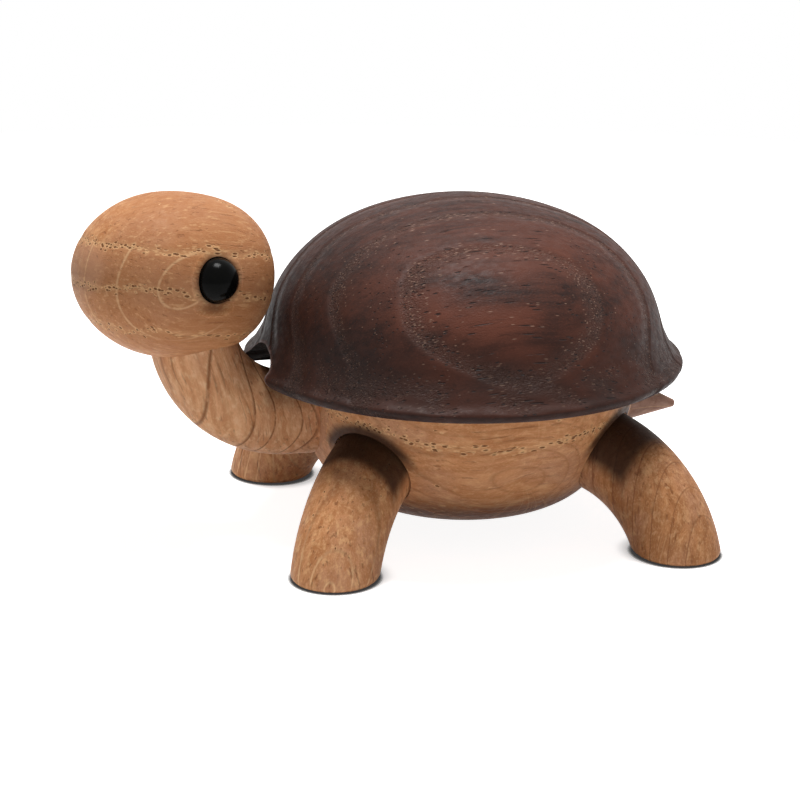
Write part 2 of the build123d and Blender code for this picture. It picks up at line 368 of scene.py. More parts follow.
def makeRingGroup():
    # ring number to masks: the edge line and the dense late wood
    group, given, result = newGroup("growthRings", {"Ring": 0.0, "Line Width": 0.05}, ("Line", "Late"))
    phase = mathNode(group, "FRACT", given["Ring"])
    fromEdge = mathNode(group, "ABSOLUTE", mathNode(group, "SUBTRACT", phase, 0.5))
    edge = mathNode(group, "SUBTRACT", 0.5, given["Line Width"])
    plug(group, rangeNode(group, fromEdge, edge, 0.5), result["Line"])
    plug(group, rangeNode(group, phase, 0.5, 1.0), result["Late"])
    return group


fibreNoises = {  # turns in a millimetre along the fibre and both ways across it, and the detail
    "Streak": ((0.05, 0.6, 0.6), 5), "Thread": ((0.03, 1.3, 1.3), 3), "Fleck": ((0.5, 0.9, 0.9), 3),
    "Grit": ((1.6, 3.2, 3.2), 2), "Cloud": ((0.05, 0.10, 0.10), 2), "Ray": ((1.6, 1.6, 1.6), 2),
}
pitCell = {"shares": (0.5, 1.4, 1.4), "inner": 0.55, "outer": 1.6}


def makeFibreGroup():
    # a pit is an open pore cut along its length, with a pale rim; rays are thin sheets that stand out
    # from the pith
    group, given, result = newGroup(
        "woodFibre", {"Fibre": None, "Ray": None, "Pit Share": 0.3, "Pit Reach": 0.3},
        ("Streak", "Thread", "Fleck", "Grit", "Cloud", "Ray", "Pit", "Rim"),
    )
    for label, (shares, detail) in fibreNoises.items():
        place = given["Ray" if label == "Ray" else "Fibre"]
        plug(group, noiseNode(group, stretched(group, place, *shares), detail), result[label])
    near, chance = cellNode(group, stretched(group, given["Fibre"], *pitCell["shares"]))
    chosen = mathNode(group, "LESS_THAN", chance, given["Pit Share"])
    inner = product(group, given["Pit Reach"], pitCell["inner"])
    outer = product(group, given["Pit Reach"], pitCell["outer"])
    pit = rangeNode(group, near, inner, given["Pit Reach"], 1.0, 0.0)
    rim = rangeNode(group, near, given["Pit Reach"], outer, 1.0, 0.0)
    plug(group, product(group, pit, chosen), result["Pit"])
    plug(group, product(group, rim, chosen), result["Rim"])
    return group


def emptyTree(owner):
    owner.use_nodes = True
    owner.node_tree.nodes.clear()
    return owner.node_tree


def startMaterial(name):
    material = bpy.data.materials.new(name)
    tree = emptyTree(material)
    surface = tree.nodes.new("ShaderNodeOutputMaterial")
    shader = tree.nodes.new("ShaderNodeBsdfPrincipled")
    plug(tree, shader.outputs[0], surface.inputs[0])
    return material, tree, shader


ringGroup = makeRingGroup()
fibreGroup = makeFibreGroup()


def attributeNode(tree, name):
    return nodeIn(tree, "ShaderNodeAttribute", attribute_type="GEOMETRY", attribute_name=name).outputs


def ringMasks(tree, finish):
    rings = nodeIn(tree, "ShaderNodeGroup", node_tree=ringGroup)
    plug(tree, attributeNode(tree, "ring")["Fac"], rings.inputs["Ring"])
    rings.inputs["Line Width"].default_value = finish["lineWidth"]
    return rings.outputs


def fibreMasks(tree, finish):
    # the fibre group's masks, and the surface's own flat cut, end grain and pores; the tone over 0
    # (heartwood, painted belly shade, painted edge highlight) and the painted shade under 0
    face = nodeIn(tree, "ShaderNodeSeparateXYZ")
    plug(tree, attributeNode(tree, "face")["Vector"], face.inputs[0])
    flat = rangeNode(tree, face.outputs[0], *grain["squareCut"], 1.0, 0.0)
    fibres = nodeIn(tree, "ShaderNodeGroup", node_tree=fibreGroup)
    plug(tree, attributeNode(tree, "fibre")["Vector"], fibres.inputs["Fibre"])
    plug(tree, attributeNode(tree, "ray")["Vector"], fibres.inputs["Ray"])
    fibres.inputs["Pit Reach"].default_value = finish["pitReach"]
    plug(tree, product(tree, face.outputs[2], finish["pits"]), fibres.inputs["Pit Share"])
    tone = attributeNode(tree, "tone")["Fac"]
    over = mathNode(tree, "MAXIMUM", tone, 0.0)
    under = mathNode(tree, "MAXIMUM", product(tree, tone, -1.0), 0.0)
    return fibres.outputs, flat, face.outputs[1], face.outputs[2], over, under


def dressShader(tree, shader, finish, tone, mottle, height):
    # mottle moves the roughness between the finish's two, and height drives the bump
    plug(tree, tone, shader.inputs["Base Color"])
    plug(tree, rangeNode(tree, mottle, 0.3, 0.7, *finish["roughness"]), shader.inputs["Roughness"])
    shader.inputs["Specular IOR Level"].default_value = finish["specular"]
    bump = nodeIn(tree, "ShaderNodeBump")
    bump.inputs["Strength"].default_value = finish["bump"]
    bump.inputs["Distance"].default_value = finish["depth"] * toMetres
    plug(tree, height, bump.inputs["Height"])
    plug(tree, bump.outputs[0], shader.inputs["Normal"])


def layered(tree, base, finish, *layers):
    # each layer is a mask and the finish's names for its strength and its tone
    for mask, strength, tone in layers:
        base = mixColour(tree, product(tree, mask, finish[strength]), base, finish[tone])
    return base


def makeOak(name, finish):
    # streaks and clouds of three tones; late wood, flecks, threads and rays; heartwood, which on the body
    # is painted shade low on the belly; a ring's edge is a pale line where it is cut squarely and a thin
    # dark one where it is cut flat; pits, then painted shade last
    material, tree, shader = startMaterial(name)
    rings = ringMasks(tree, finish)
    fibres, flat, endGrain, pored, heart, paintedShade = fibreMasks(tree, finish)

    def masked(label, *ends):
        return rangeNode(tree, fibres[label], *ends)

    square = mathNode(tree, "SUBTRACT", 1.0, flat)
    ended = rangeNode(tree, endGrain, 0.85, 0.97)
    rayMask = masked("Ray", 0.58, 0.66)
    trace = attributeNode(tree, "trace")["Fac"]
    broken = product(tree, masked("Fleck", 0.3, 0.5, 0.35, 1.0), trace)
    base = mixColour(tree, masked("Streak", 0.36, 0.64), finish["dark"], finish["middle"])
    base = layered(
        tree, base, finish,
        (masked("Cloud", 0.42, 0.66), "cloud", "grey"),
        (rings["Late"], "late", "dark"),
        (masked("Fleck", 0.50, 0.70), "fleck", "pale"),
        (masked("Fleck", 0.32, 0.48, 1.0, 0.0), "fleck", "dark"),
        (masked("Grit", 0.52, 0.68), "grit", "pale"),
        (masked("Grit", 0.34, 0.48, 1.0, 0.0), "grit", "dark"),
        (heart, "heart", "heartTone"),
        (masked("Thread", 0.58, 0.70), "thread", "deep"),
        (masked("Thread", 0.30, 0.44, 1.0, 0.0), "paleThread", "pale"),
        (product(tree, rayMask, square), "ray", "pale"),
        (ended, "endGrain", "grey"),
        (product(tree, rayMask, ended), "endRay", "pale"),
        (product(tree, rings["Line"], square, broken), "line", "lineTone"),
        (product(tree, rings["Line"], flat, broken), "darkLine", "deep"),
        (pored, "open", "pale"),
        (fibres["Rim"], "rim", "pale"),
        (fibres["Pit"], "pit", "deep"),
        (paintedShade, "paintedShade", "black"),
    )
    height = mathNode(tree, "SUBTRACT", product(tree, fibres["Grit"], finish["gritRise"]), fibres["Pit"])
    groove = product(tree, masked("Thread", 0.6, 0.72), finish["threadSink"])
    dressShader(tree, shader, finish, base, fibres["Fleck"], mathNode(tree, "SUBTRACT", height, groove))
    return material


oakFinish = {
    "dark": (0.50, 0.205, 0.080, 1), "middle": (0.66, 0.31, 0.140, 1), "pale": (0.86, 0.52, 0.26, 1),
    "deep": (0.17, 0.055, 0.018, 1), "grey": (0.55, 0.29, 0.18, 1), "lineTone": (0.88, 0.57, 0.31, 1),
    "heartTone": (0.42, 0.175, 0.075, 1), "black": (0.02, 0.006, 0.003, 1),
    "lineWidth": 0.05, "pitReach": 0.32, "pits": 0.8, "cloud": 0.5, "late": 0.25, "fleck": 0.22,
    "grit": 0.16, "thread": 0.35, "paleThread": 0.25, "ray": 0.12, "line": 0.5, "darkLine": 0.35,
    "endGrain": 0.6, "endRay": 0.6, "heart": 0.7, "open": 0.15, "rim": 0.6, "pit": 0.9, "paintedShade": 0.92,
    "roughness": (0.62, 0.50), "specular": 0.14, "bump": 0.7, "depth": 0.3, "gritRise": 0.35,
    "threadSink": 0.4,
}
smokedFinish = {
    "dark": (0.017, 0.0075, 0.006, 1), "middle": (0.060, 0.022, 0.015, 1), "red": (0.155, 0.048, 0.028, 1),
    "deep": (0.006, 0.003, 0.0025, 1), "coarse": (0.085, 0.042, 0.031, 1), "speck": (0.36, 0.22, 0.16, 1),
    "edgeHighlightTone": (0.30, 0.24, 0.23, 1), "reddish": 0.75, "thread": 0.4, "grit": 0.25, "dust": 0.7, "pit": 0.8,
    "dash": 0.85, "specks": 0.7, "edgeHighlight": 0.6, "paintedShade": 0.95, "pitReach": 0.26, "pits": 0.6,
    "dashCell": (0.11, 1.25, 1.25), "speckCell": (0.5, 2.4, 2.4), "roughness": (0.66, 0.48),
    "specular": 0.16, "bump": 0.8, "depth": 0.35, "gritRise": 0.3, "poreSink": 2.0,
}


def makeSmokedOak(name, finish):
    # dark to red by streak, cloud and cut; pale dust lies in the coarse wood, dark dashes in the rest;
    # then a painted highlight along the channel's edge, and painted shade
    material, tree, shader = startMaterial(name)
    fibres, flat, _, pored, edgeHighlight, paintedShade = fibreMasks(tree, finish)
    fibrePlace = attributeNode(tree, "fibre")["Vector"]

    def masked(label, *ends):
        return rangeNode(tree, fibres[label], *ends)

    def scattered(cell, low, high, wanted):
        # a mark in the middle of the wanted share of cells
        near, chance = cellNode(tree, stretched(tree, fibrePlace, *finish[cell]))
        chosen = mathNode(tree, "LESS_THAN", chance, wanted)
        return product(tree, rangeNode(tree, near, low, high, 1.0, 0.0), chosen)

    base = mixColour(tree, masked("Streak", 0.30, 0.70), finish["dark"], finish["middle"])
    reddish = product(tree, masked("Cloud", 0.26, 0.70), rangeNode(tree, flat, 0.0, 1.0, 0.2, 1.0))
    onFlat = rangeNode(tree, flat, 0.0, 1.0, 0.10, 0.65)
    dash = scattered("dashCell", 0.10, 0.24, mathNode(tree, "MAXIMUM", onFlat, product(tree, pored, 0.7)))
    dotted = scattered("speckCell", 0.14, 0.36, mathNode(tree, "ADD", product(tree, pored, 0.8), 0.05))
    speck = product(tree, dotted, masked("Fleck", 0.3, 0.6, 0.35, 1.0))
    dusty = product(tree, pored, masked("Grit", 0.4, 0.6, 0.3, 1.0))
    base = layered(
        tree, base, finish,
        (reddish, "reddish", "red"),
        (masked("Thread", 0.56, 0.72), "thread", "deep"),
        (masked("Grit", 0.52, 0.68), "grit", "red"),
        (dusty, "dust", "coarse"),
        (fibres["Pit"], "pit", "deep"),
        (dash, "dash", "deep"),
        (speck, "specks", "speck"),
        (edgeHighlight, "edgeHighlight", "edgeHighlightTone"),
        (paintedShade, "paintedShade", "deep"),
    )
    height = product(tree, fibres["Grit"], finish["gritRise"])
    for sunk in (fibres["Pit"], dash, product(tree, pored, fibres["Grit"], finish["poreSink"])):
        height = mathNode(tree, "SUBTRACT", height, sunk)
    dressShader(tree, shader, finish, base, fibres["Fleck"], height)
    return material


eyeFinish = {
    "dark": (0.001, 0.001, 0.001, 1), "pale": (0.003, 0.003, 0.0025, 1), "swirlScale": 900,
    "roughness": (0.16, 0.20), "specular": 0.045, "bump": 0.05, "depth": 0.05,
}
dowelFinish = {
    "dark": (0.52, 0.33, 0.19, 1), "pale": (0.66, 0.46, 0.29, 1), "tick": (0.30, 0.16, 0.08, 1),
    "streakScale": 400, "tickScale": 2200, "roughness": (0.55, 0.7), "specular": 0.5, "bump": 0.2,
    "depth": 0.05,
}


def makeEyeGloss(name, finish):
    # black bead with faint polishing swirls
    material, tree, shader = startMaterial(name)
    place = nodeIn(tree, "ShaderNodeTexCoord").outputs["Object"]
    swirl = noiseNode(tree, place, 5, finish["swirlScale"])
    tone = mixColour(tree, swirl, finish["dark"], finish["pale"])
    dressShader(tree, shader, finish, tone, swirl, swirl)
    return material


def makeDowelBeech(name, finish):
    # plain beech with short darker ticks along each dowel
    material, tree, shader = startMaterial(name)
    place = nodeIn(tree, "ShaderNodeTexCoord").outputs["Object"]
    streak = noiseNode(tree, place, 5, finish["streakScale"])
    tick = noiseNode(tree, place, 2, finish["tickScale"])
    tone = mixColour(tree, rangeNode(tree, streak, 0.3, 0.7), finish["dark"], finish["pale"])
    tone = mixColour(tree, rangeNode(tree, tick, 0.6, 0.7, 0.0, 0.5), tone, finish["tick"])
    dressShader(tree, shader, finish, tone, streak, tick)
    return material


def varied(finish, **changes):
    return {**finish, **changes}


def finishPiece(piece, material, body, slot, *nodes, sharp=35):
    # smooth but for edges over sharp degrees
    mesh = piece.data
    mesh.polygons.foreach_set("use_smooth", np.ones(len(mesh.polygons), bool))
    mesh.set_sharp_from_angle(angle=radians(sharp))
    mesh.update()
    mesh.materials.clear()
    mesh.materials.append(material)
    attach(piece, body)
    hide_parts(*nodes)


print("wood groups made")

# Shell: flat underside, round lip, flared wall and dome, with a channel cut over the neck
shell = {
    "lipRadius": 1.6, "crownFlat": 0.6, "channelRadius": 12.2, "channelHeight": 28.8, "channelStart": 33.0,
    "channelTurn": 2.7, "columns": 480, "edgeHighlightWidth": 0.35, "wallShade": (0.6, 0.45), "wallShadeMost": 0.7,
    "wallShadeLow": (4, 20), "wallShadeAhead": (15, 38), "pores": 0.7, "poreRise": (1.5, 3.0), "poreFall": (5, 12),
    "outlineShares": [(0.972, 0.085), (0.950, 0.125), (0.918, 0.200), (0.892, 0.300), (0.850, 0.450),
                      (0.776, 0.600), (0.656, 0.750), (0.485, 0.875), (0.262, 0.962)],
    "figure": {
        "pith": (-92.5, axisY, -66.7), "pithWay": (0.63, -0.14, -0.764), "fibre": (0.0, 1.0, 0.03),
        "ringRadii": [112.7, 120.3, 127.9, 135.5, 143.1, 150.8, 158.4, 166.0, 173.4, 181.0],
        "wave": 0.3, "waveSize": 26, "seed": 11, "relief": 0.16, "early": 0.42, "rayReach": 60.0,
        "squarePores": 1.0,
    },
}
channelTurn = radians(shell["channelTurn"])
channelWay = np.array([sin(channelTurn), -cos(channelTurn), 0])
channelSide = np.array([cos(channelTurn), sin(channelTurn), 0])


def shellProfile():
    rim, low, top = (shellHigh[0] - shellLow[0]) / 2, shellLow[2], shellHigh[2]
    rise, lip = top - low, shell["lipRadius"]
    wall = [(rim, low + lip)]
    wall += [(across * rim, low + up * rise) for across, up in shell["outlineShares"]]
    wall += [(shell["crownFlat"], top)]
    return joined(
        straightPoints([(0, low), (rim - lip, low)], 8),
        arcPoints((rim - lip, low + lip), lip, -90, 0, 10),
        throughPoints(wall, (0, 1), (-1, 0), 150),
        straightPoints([(shell["crownFlat"], top), (0, top)], 2),
    )


def shellTone(points, normals):
    # a painted highlight along the channel's edge, exp(-(distance / reach)^2), painted shade on the
    # channel's own face, and painted shade low on the wall and in front
    offset = points - axisFoot
    ahead, rho = offset @ channelWay, np.hypot(offset[:, 0], offset[:, 1])
    reach = np.stack([offset @ channelSide, points[:, 2] - shell["channelHeight"]], -1)
    arch = np.abs(np.linalg.norm(reach, axis=1) - shell["channelRadius"])
    arch = np.where((ahead > shell["channelStart"]) & (rho > shell["channelStart"] + 4), arch, 9)
    inward = -(normals @ channelSide * reach[:, 0] + normals[:, 2] * reach[:, 1])
    within = (arch < 0.2) & (inward > 0.8 * shell["channelRadius"])
    high = points[:, 2] - shellLow[2]
    wallShade = shell["wallShade"][0] * (1 - smoothStep(high, *shell["wallShadeLow"]))
    wallShade += shell["wallShade"][1] * smoothStep(ahead, *shell["wallShadeAhead"])
    wallShaded = -np.minimum(wallShade, shell["wallShadeMost"])
    return np.where(within, -1.0, np.where(arch < 0.6, np.exp(-(arch / shell["edgeHighlightWidth"]) ** 2), wallShaded))


def shellPores(points, normals):
    # more open pores low on the wall, in patches: the share follows a slow wave
    high = points[:, 2] - shellLow[2]
    patch = np.clip(0.5 + wander(points, 9, 12), 0, 1)
    band = smoothStep(high, *shell["poreRise"]) * (1 - smoothStep(high, *shell["poreFall"]))
    return shell["pores"] * band * patch


def buildShell():
    rings = turned(shellProfile(), axisFoot, (0, 0, 1), (1, 0, 0), shell["columns"])
    piece = meshFromRings("shell_surface", rings)
    start = np.array([0, axisY, shell["channelHeight"]]) + channelWay * shell["channelStart"]
    carve(piece, [roundBore("channel", start, channelWay, shell["channelRadius"], 0.0, 30.0, 60)])
    dressWood(piece, shell["figure"], lambda points: points[:, 2] > shellLow[2] + 0.3, shellTone, shellPores)
    finishPiece(piece, makeSmokedOak("smokedOak", smokedFinish), "figure", "shell_wood", "shell")


buildShell()
print("shell made")

# Legs: a bend of round stock, cut level at the sole, whose lower edge is rounded
leg = {
    "radius": 9.1, "bendRadius": 26.5, "seatDrop": 14.4, "soleDrop": 74.9, "splay": 50.8, "soleRound": 1.5,
    "frontInset": 6.97, "frontBearing": 39.36, "rearInset": 4.8, "rearBearing": 40.1, "pocket": 9.4,
    "around": 168, "steps": 110, "crowding": 0.75, "shadeReach": (9.5, 12.8), "shadeFacing": (-0.1, 0.3),
}
legLow, legHigh = radians(leg["soleDrop"]), radians(leg["seatDrop"])
legEnds = [(side, end) for side in (1, -1) for end in (-1, 1)]


def legFrame(side, end):
    # the middle of the sole and the leg's outward, upward and sideways directions
    which = "front" if end < 0 else "rear"
    inset, bearing = leg[which + "Inset"], radians(leg[which + "Bearing"])
    splay = radians(leg["splay"])
    out = np.array([side * sin(splay), end * cos(splay), 0])
    up = np.array([0, 0, 1.0])
    reach = leg["bendRadius"] * (sin(legLow) - sin(legHigh))
    seat = (bodyHigh[0] - inset) * np.array([side * sin(bearing), end * cos(bearing), 0])
    return axisFoot + seat + reach * out, out, up, np.cross(out, up)


def legSeat(side, end):
    # where the leg meets the body, and the way it leaves it
    sole, out, up, _ = legFrame(side, end)
    rise = out * (sin(legHigh) - sin(legLow)) + up * (cos(legHigh) - cos(legLow))
    return sole + leg["bendRadius"] * rise, out * cos(legHigh) - up * sin(legHigh)


def buildLeg(name, side, end, figure, material):
    # a ring torus: hub + (R + r*cos b)*(cos a * out + sin a * up) + r*sin b * across. Each line round
    # the tube ends at the height of the sole, where sin a = R*cos(drop) / (R + r*cos b)
    sole, out, up, across = legFrame(side, end)
    bend, radius = leg["bendRadius"], leg["radius"]
    hub = sole - out * bend * sin(legLow) - up * bend * cos(legLow)
    b = np.linspace(0, 2 * pi, leg["around"], endpoint=False)
    reach = bend + radius * np.cos(b)
    last = np.arcsin(bend * cos(legLow) / reach)
    first = pi / 2 - legHigh
    share = np.linspace(0, 1, leg["steps"]) ** leg["crowding"]
    a = first + share[:, None] * (last - first)[None]
    spoke = np.cos(a)[..., None] * out + np.sin(a)[..., None] * up
    rings = hub + reach[None, :, None] * spoke + (radius * np.sin(b))[None, :, None] * across
    high = rings[..., 2]
    edge = leg["soleRound"]
    inset = edge - np.sqrt(np.maximum(edge**2 - (edge - np.clip(high, 0, edge)) ** 2, 0))
    middle = rings.mean(axis=1, keepdims=True)
    away = rings - middle
    away[..., 2] = 0
    away /= np.linalg.norm(away, axis=-1, keepdims=True)
    rings = rings - away * inset[..., None]
    piece = meshFromRings(name + "_surface", capped(rings))
    centre, way = legSeat(side, end)

    def paintedShade(points, normals):
        # painted shade on top of the leg, close under the shell, where the shell keeps the light off
        near = 1 - smoothStep((points - centre) @ way, *leg["shadeReach"])
        return -near * smoothStep(normals[:, 2], *leg["shadeFacing"])

    dressWood(piece, figure, lambda points: np.clip(points[:, 2] / 2 - 0.1, 0, 1), paintedShade)
    finishPiece(piece, material, "figure", "leg_wood", name, sharp=50)


def localFigure(side, end, pith, way, radii, seed):
    # a leg's figure given in its own outward, upward and sideways directions
    sole, *axes = legFrame(side, end)
    pith, way, fibre = (np.array(v) @ axes for v in (pith, way, (0.06, 1.0, -0.04)))
    return {
        "pith": sole + pith, "pithWay": way, "fibre": fibre, "across": axes[0],
        "ringRadii": radii, "wave": 0.12, "waveSize": 20, "seed": seed,
    }


legFinish = varied(oakFinish, fleck=0.5, grit=0.3, thread=0.5, pits=0.6, ray=0.04)
frontOak = makeOak("frontLegOak", varied(legFinish, line=0.75, lineWidth=0.09))
rearOak = makeOak("rearLegOak", varied(
    legFinish, dark=(0.36, 0.145, 0.055, 1), middle=(0.54, 0.24, 0.10, 1), pale=(0.72, 0.42, 0.21, 1),
    line=0.6, lineTone=(0.19, 0.065, 0.025, 1),
))
legFigures = {  # side, end, pith, the pith's way, ring radii and seed
    "leg_front_left": (
        1, -1, (-1.9, 10, -1.5), (-0.745, 0.658, 0.11), [4.2, 7.3, 10.4, 13.5, 16.6, 19.7], 31,
    ),
    "leg_rear_left": (1, 1, (24.6, 10, 3.5), (0, 1, 0), [12, 15.5, 19, 22.5, 26.5, 31, 36], 32),
    "leg_front_right": (-1, -1, (13, 10, 2), (-0.3, 0.95, 0.05), [3, 7, 10.5, 13.4, 16, 18.4], 33),
    "leg_rear_right": (-1, 1, (-14, 10, -9), (0.1, 0.98, 0.1), [5, 8.6, 12, 15, 17.6, 20], 34),
}
for name, (side, end, *rest) in legFigures.items():
    buildLeg(name, side, end, localFigure(side, end, *rest), frontOak if end < 0 else rearOak)
print("legs made")

# Body: a turned bowl, flat on top and in front, with a round pocket for each leg and for the tail
body = {
    "flatShare": 0.36, "columns": 420, "frontFlat": axisY - bodyLow[1],
    "rowLow": 25.6, "rowSag": 0.004, "rowAhead": 1.5, "rowWidth": 0.7, "bellyShade": (8, 15),
    "shadeGap": (0.9, 3.4), "shadeRise": (0.0, 5.0),
    "outlineShares": [(0.560, 0.040), (0.722, 0.150), (0.824, 0.300), (0.906, 0.500), (0.974, 0.750)],
    "figure": {
        "pith": (31.9, axisY, 19.3), "pithWay": (0.42, 0.84, -0.34), "fibre": (0.0, 1.0, 0.0),
        "ringRadii": [3.4, 8.1, 10.6, 14.5, 18.5, 22.5, 27, 31.5, 36, 41, 46], "wave": 0.12,
        "waveSize": 24, "seed": 21,
    },
}
tail = {
    "radius": 6.0, "tipRadius": 0.9, "length": 14.9, "height": 23.7, "seat": 34.7, "droop": 8.8,
    "tipRound": 0.4, "tenonRadius": 2.5, "tenonLength": 8.0, "pocket": 6.1,
    "figure": {
        "pith": (3.0, axisY, 16.0), "pithWay": (0.0, 1.0, -0.1), "fibre": (0.0, 1.0, -0.15),
        "ringRadii": [3, 5.2, 7.6, 10, 12.5], "wave": 0.1, "waveSize": 14, "seed": 41, "relief": 0.04,
    },
}
tailDroop = radians(tail["droop"])
tailWay = np.array([0, cos(tailDroop), -sin(tailDroop)])
tailSeat = np.array([0, axisY + tail["seat"], tail["height"]])


def bodyPores(points, normals):
    # a row of long open pores on each side, lowest in the middle: height = low + sag * (y - middle)^2
    row = body["rowLow"] + body["rowSag"] * (points[:, 1] - axisY - body["rowAhead"]) ** 2
    return np.exp(-((points[:, 2] - row + 0.3 * wander(points, 12, 22)) / body["rowWidth"]) ** 2)


def bodyTone(points, normals):
    # painted shade above each leg, where the shell keeps the light off, and painted shade low on the belly
    total = 1 - smoothStep(points[:, 2], *body["bellyShade"])
    for corner in legEnds:
        centre, way = legSeat(*corner)
        offset = points - centre
        gap = np.linalg.norm(offset - np.outer(offset @ way, way), axis=1) - leg["pocket"]
        near = (1 - smoothStep(gap, *body["shadeGap"])) * smoothStep(offset[:, 2], *body["shadeRise"])
        near = near * (offset @ way > 0)
        total = np.where(near > 0.1, -near, total)
    return total


# on the body the heartwood layer carries painted shade instead: a near black tone low on the belly
bodyFinish = varied(
    oakFinish, fleck=0.25, grit=0.18, line=0.45, lineWidth=0.12, lineTone=(0.38, 0.15, 0.06, 1), pits=0.9,
    pitReach=0.45, heart=0.95, heartTone=(0.06, 0.013, 0.002, 1),
)


def buildBody():
    wide, low, high = (bodyHigh[0] - bodyLow[0]) / 2, bodyLow[2], bodyHigh[2]
    bellyEnd = (body["flatShare"] * wide, low)
    wall = [(r * wide, low + h * (high - low)) for r, h in body["outlineShares"]]
    profile = joined(
        straightPoints([(0, low), bellyEnd], 8),
        throughPoints([bellyEnd, *wall, (wide, high)], (1, 0), (0, 1), 90),
        straightPoints([(wide, high), (0, high)], 8),
    )
    rings = turned(profile, axisFoot, (0, 0, 1), (1, 0, 0), body["columns"])
    piece = meshFromRings("body_surface", rings)
    front = np.array([0, axisY - body["frontFlat"], 20])
    cutters = [roundBore("tailPocket", tailSeat, tailWay, tail["pocket"], 0.0, 20.0),
               roundBore("frontFlat", front, (0, -1, 0), 60.0, 0.0, 30.0)]
    for corner in legEnds:
        cutters.append(roundBore("legPocket", *legSeat(*corner), leg["pocket"], 0.0, 20.0))
    carve(piece, cutters)
    dressWood(piece, body["figure"], None, bodyTone, bodyPores)
    finishPiece(piece, makeOak("bodyOak", bodyFinish), "figure", "body_wood", "body")


tailFinish = varied(
    oakFinish, dark=(0.31, 0.165, 0.12, 1), middle=(0.43, 0.25, 0.185, 1), pale=(0.56, 0.37, 0.28, 1),
)


def buildTail():
    edge, tip, end = tail["tipRound"], tail["tipRadius"], tail["length"]
    thin, deep = tail["tenonRadius"], -tail["tenonLength"]
    corners = [(0, deep), (thin, deep), (thin, 0), (tail["radius"], 0), (tip, end - edge)]
    profile = joined(
        straightPoints(corners, 3, 8, 4, 50),
        arcPoints((tip - edge, end - edge), edge, 0, 90, 6),
        straightPoints([(tip - edge, end), (0, end)], 2),
    )
    piece = meshFromRings("tail_surface", turned(profile, tailSeat, tailWay, (1, 0, 0), 96))
    dressWood(piece, tail["figure"])
    finishPiece(piece, makeOak("tailOak", tailFinish), "figure", "tail_wood", "tail")


buildBody()
buildTail()
print("body and tail made")

# Neck: a straight root and one bend of round stock, up into the head
neck = {
    "radius": 9.15, "height": 25.3, "straight": 5.4, "bendRadius": 20.2, "bend": 83.0, "around": 168,
    "steps": 110, "shade": 0.6, "shadeRise": (27, 33), "shadeBack": (-17, -9),
    "figure": {
        "pith": (-5.0, axisY - 25.5, 20.0), "pithWay": (0.03, 0.06, 1.0), "fibre": (0.05, -0.2, 0.98),
        "ringRadii": [3, 9, 16.8, 18.5, 22.6, 26.2, 35.2, 44], "wave": 0.4, "waveSize": 18, "seed": 51,
        "across": (1.0, 0.0, 0.0),
    },
}
neckFinish = varied(
    oakFinish, dark=(0.62, 0.28, 0.125, 1), middle=(0.84, 0.45, 0.235, 1), pale=(0.97, 0.67, 0.39, 1),
    thread=0.4, fleck=0.42, grit=0.22, late=0.12, cloud=0.35, line=0.85, darkLine=0.6,
    lineTone=(0.22, 0.075, 0.026, 1), lineWidth=0.07,
)


def neckTone(points, normals):
    # painted shade at the back of the nape, between head and shell
    offset = points[:, 1] - axisY + body["frontFlat"]
    back = smoothStep(offset, *neck["shadeBack"])
    return -neck["shade"] * smoothStep(points[:, 2], *neck["shadeRise"]) * back


def buildNeck():
    # centre line: straight to the bend's start, then start + R*sin a forwards and R*(1 - cos a) upwards
    bend, turn = neck["bendRadius"], radians(neck["bend"])
    a = np.concatenate([np.zeros(12), np.linspace(0, turn, neck["steps"])])
    straight = neck["straight"]
    run = np.concatenate([np.linspace(0, straight, 13)[:-1], np.full(neck["steps"], straight)])
    ahead, up = np.array([0, -1.0, 0]), np.array([0, 0, 1.0])
    root = np.array([0, axisY - body["frontFlat"], neck["height"]])
    line = root + (run + bend * np.sin(a))[:, None] * ahead + (bend * (1 - np.cos(a)))[:, None] * up
    lift = -np.sin(a)[:, None] * ahead + np.cos(a)[:, None] * up
    b = np.linspace(0, 2 * pi, neck["around"], endpoint=False)
    side = np.array([1.0, 0, 0])
    rim = np.cos(b)[None, :, None] * side + np.sin(b)[None, :, None] * lift[:, None]
    rings = line[:, None] + neck["radius"] * rim
    piece = meshFromRings("neck_surface", capped(rings[:, ::-1]))
    dressWood(piece, neck["figure"], None, neckTone)
    finishPiece(piece, makeOak("neckOak", neckFinish), "figure", "neck_wood", "neck", sharp=50)


buildNeck()
print("neck made")

# Head: a turned egg, blunter at the back, on the neck's top; it looks to its left and a little up
head = {
    "halfLength": 21.6, "radius": 17.2, "seat": 14.5, "ahead": 3.5, "turn": 27.5, "raise": 16.5,
    "nosePower": 1.9, "backPower": 2.8, "outlineSteps": 10, "pocket": 9.55, "columns": 360,
    "room": 0.06,  # the surface's room over the neck's end, so that the two don't rub as the head turns
    "heart": (14, 22), "traceLevel": (7.5, 11), "traceNose": (-6, 2), "traceLeft": (-6, 0),
    "pithYaw": 0.66, "pithPitch": -0.52, "rowHeights": (-10.7, -2.3, 6.1), "rowWidth": 0.75,
}
eye = {
    "radius": 4.6, "sink": 1.1, "skirt": 0.6, "rise": 0.9, "recess": 4.75, "shankRadius": 1.25,
    "shankLength": 6.0, "shankEnd": 0.3, "shade": 0.9, "shadeWidth": 0.7, "under": 0.7, "underDrop": 5.6,
    "underHigh": 1.5, "underLong": 3.5,
}


def between(first, second, angle):
    return first * cos(angle) + second * sin(angle)


